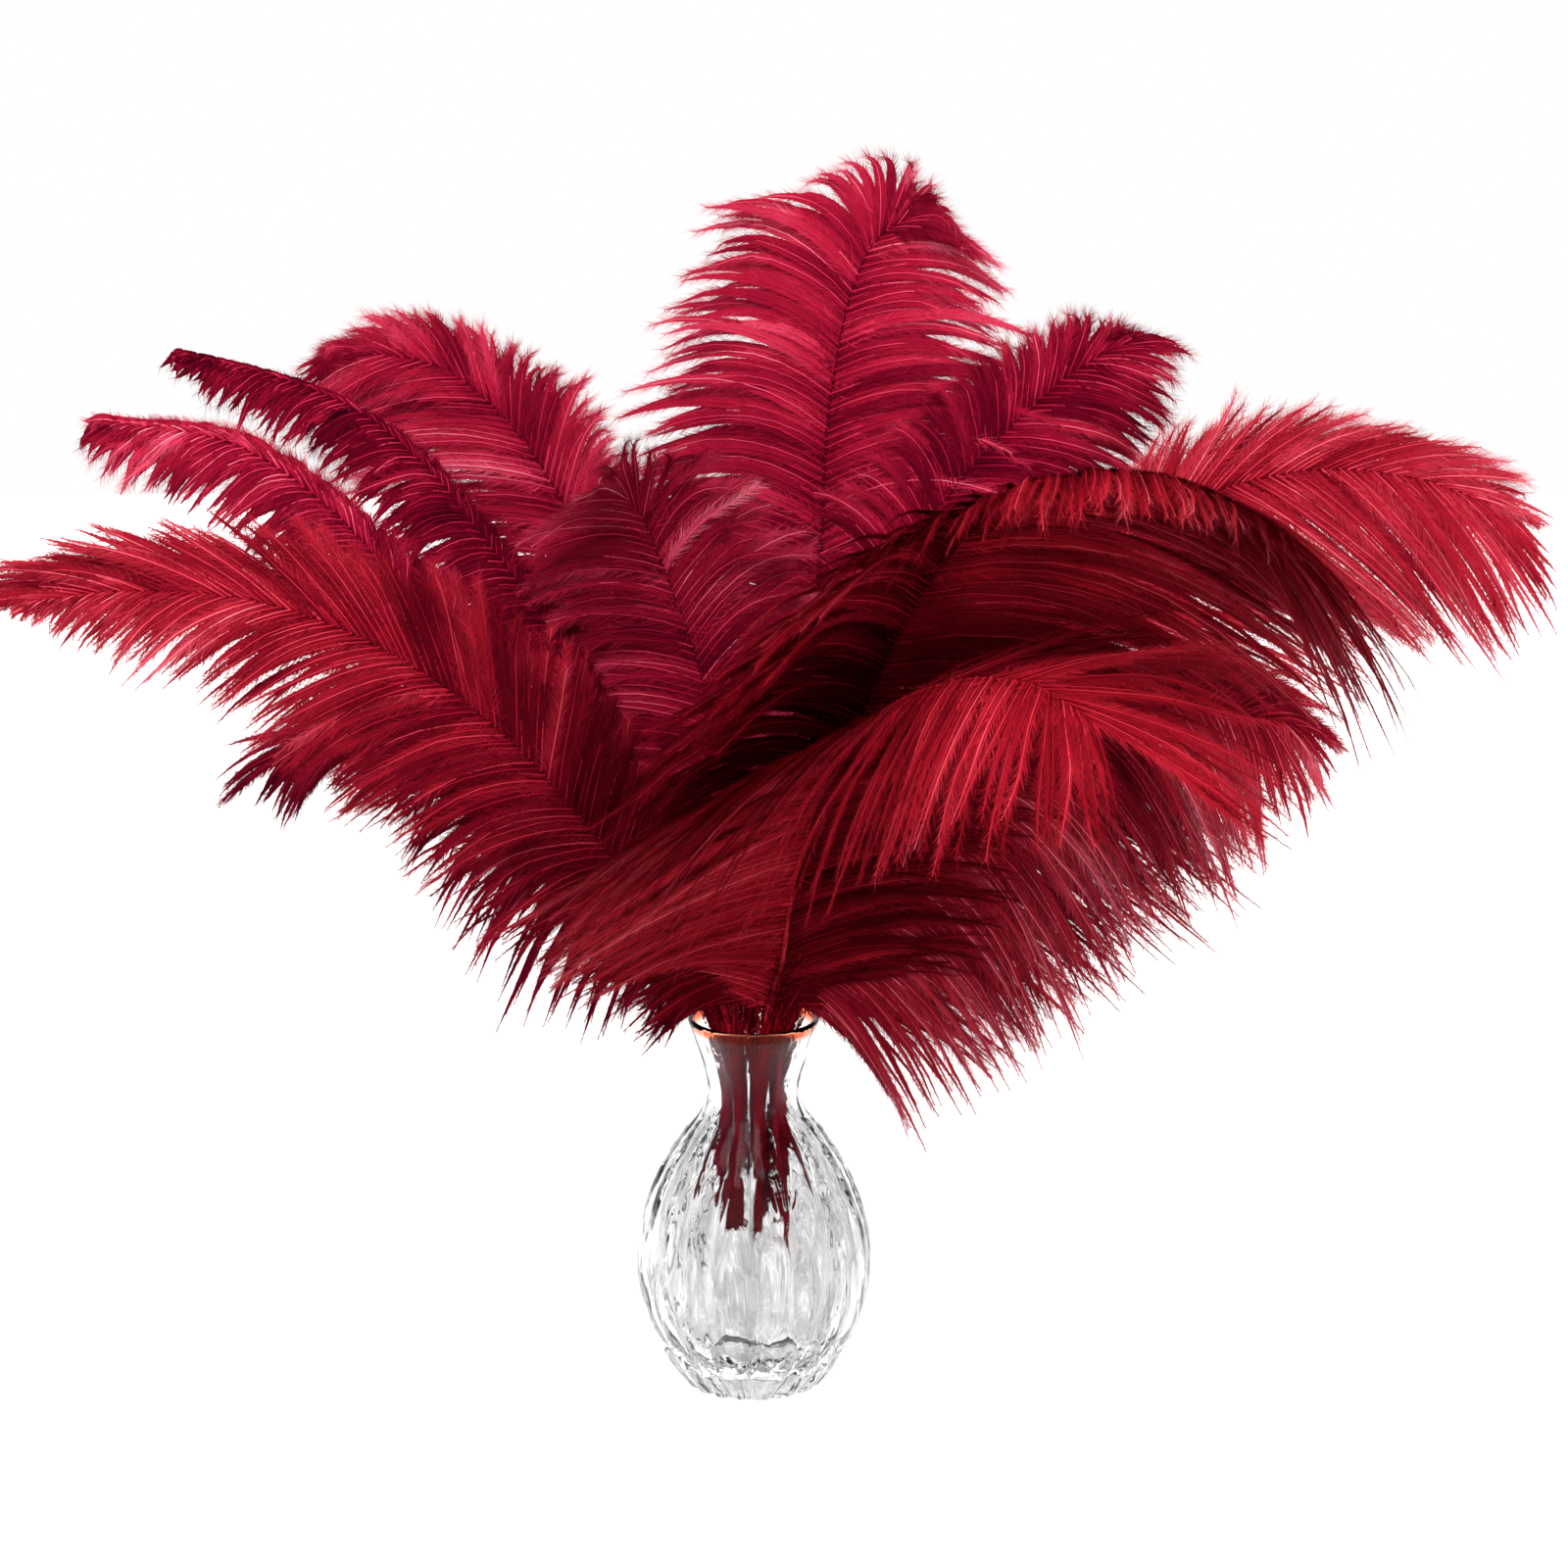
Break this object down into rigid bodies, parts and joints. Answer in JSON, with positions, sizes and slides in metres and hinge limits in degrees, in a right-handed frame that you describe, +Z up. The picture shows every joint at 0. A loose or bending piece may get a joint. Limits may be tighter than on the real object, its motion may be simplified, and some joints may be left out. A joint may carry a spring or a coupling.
{
  "type": "ostrich feather bunch in a glass vase",
  "caption": "Bunch of long crimson ostrich plumes with loose drooping barbs, standing in a small ribbed pear-shaped bud vase of clear glass.",
  "frame": {"origin": "centre of the vase's flat foot, on the surface it stands on", "axes": "+Z up along the vase, -Y towards the front of the arrangement, +X to the viewer's right"},
  "size_m": [0.4831, 0.2531, 0.3698],
  "materials": {
    "glass": "clear pressed glass with soft vertical ribs",
    "warm_barbs": "dyed downy barbs, red crimson, soft sheen",
    "cool_barbs": "dyed downy barbs, cool crimson, soft sheen"
  },
  "bodies": {
    "root": {"vase": "glass", "feather_front": "warm_barbs", "feather_right_arch": "warm_barbs", "feather_far_right": "warm_barbs", "feather_low_right": "warm_barbs", "feather_far_left": "warm_barbs", "feather_top": "cool_barbs", "feather_up_left": "cool_barbs", "feather_left_high": "cool_barbs", "feather_left_mid": "cool_barbs", "feather_low_left": "cool_barbs", "feather_up_right": "cool_barbs", "feather_short_left": "cool_barbs"}
  },
  "joints": []
}
